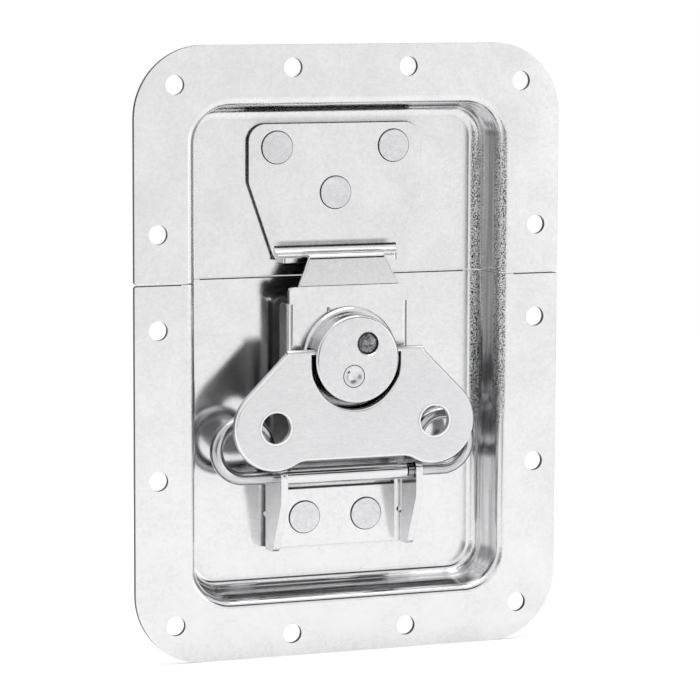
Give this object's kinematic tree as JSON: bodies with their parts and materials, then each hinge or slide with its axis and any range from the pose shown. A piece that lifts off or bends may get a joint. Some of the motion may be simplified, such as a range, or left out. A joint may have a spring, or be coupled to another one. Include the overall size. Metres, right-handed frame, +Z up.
{
  "type": "recessed butterfly case latch",
  "caption": "Recessed twist latch in a split pressed dish: a folding wing turns a cam that lifts a hook off the keeper in the lid half.",
  "frame": {"origin": "centre of the corner hole pattern on the flange's back, the plane that seats on the case", "axes": "+Z up from the base half to the lid half, -Y out of the case toward the user, +X to the right of a user who faces the latch"},
  "size_m": [0.127, 0.0225, 0.172],
  "materials": {
    "zinc_pressing": "bright zinc plate on pressed steel",
    "rivet_steel": "satin zinc plate",
    "spring_wire": "polished drawn wire",
    "turned_steel": "bright zinc plate on turned steel",
    "wing_steel": "tumbled zinc plate with coined edges"
  },
  "bodies": {
    "case_side": {"upper_dish": "zinc_pressing", "lower_dish": "zinc_pressing", "keeper_plate": "zinc_pressing", "keeper_rivet_left": "rivet_steel", "keeper_rivet_right": "rivet_steel", "keeper_rivet_low": "rivet_steel", "base_bracket": "zinc_pressing", "bracket_rivet_left": "rivet_steel", "bracket_rivet_right": "rivet_steel"},
    "ring": {"spring_ring": "spring_wire"},
    "link": {"link_plate": "zinc_pressing"},
    "hook": {"hook_plate": "zinc_pressing"},
    "cam": {"cam_base": "turned_steel", "cam_backing": "turned_steel", "stud_washer": "turned_steel", "cam_cap": "turned_steel", "cam_pin_upper": "rivet_steel", "cam_pin_lower": "rivet_steel"},
    "wing": {"wing": "wing_steel"}
  },
  "joints": [
    {"name": "ring_swing", "type": "hinge", "parent": "case_side", "child": "ring", "pos_m": [0, 0.0015, -0.0352], "axis": [1, 0, 0], "range_deg": [0, 40]},
    {"name": "link_swing", "type": "hinge", "parent": "ring", "child": "link", "pos_m": [0, 0.0015, -0.028], "axis": [1, 0, 0], "range_deg": [0, 10]},
    {"name": "hook_lift", "type": "slide", "parent": "link", "child": "hook", "axis": [0, 0, 1], "range_m": [0, 0.006]},
    {"name": "cam_turn", "type": "hinge", "parent": "hook", "child": "cam", "pos_m": [0, -0.0015, -0.0017], "axis": [0, 1, 0], "range_deg": [0, 180]},
    {"name": "wing_fold", "type": "hinge", "parent": "cam", "child": "wing", "pos_m": [0, -0.0053, 0.0003], "axis": [-1, 0, 0], "range_deg": [0, 92]}
  ],
  "couplings": [
    {"joint": "hook_lift", "follows": "cam_turn", "m_per_rad": 0.0019099}
  ]
}
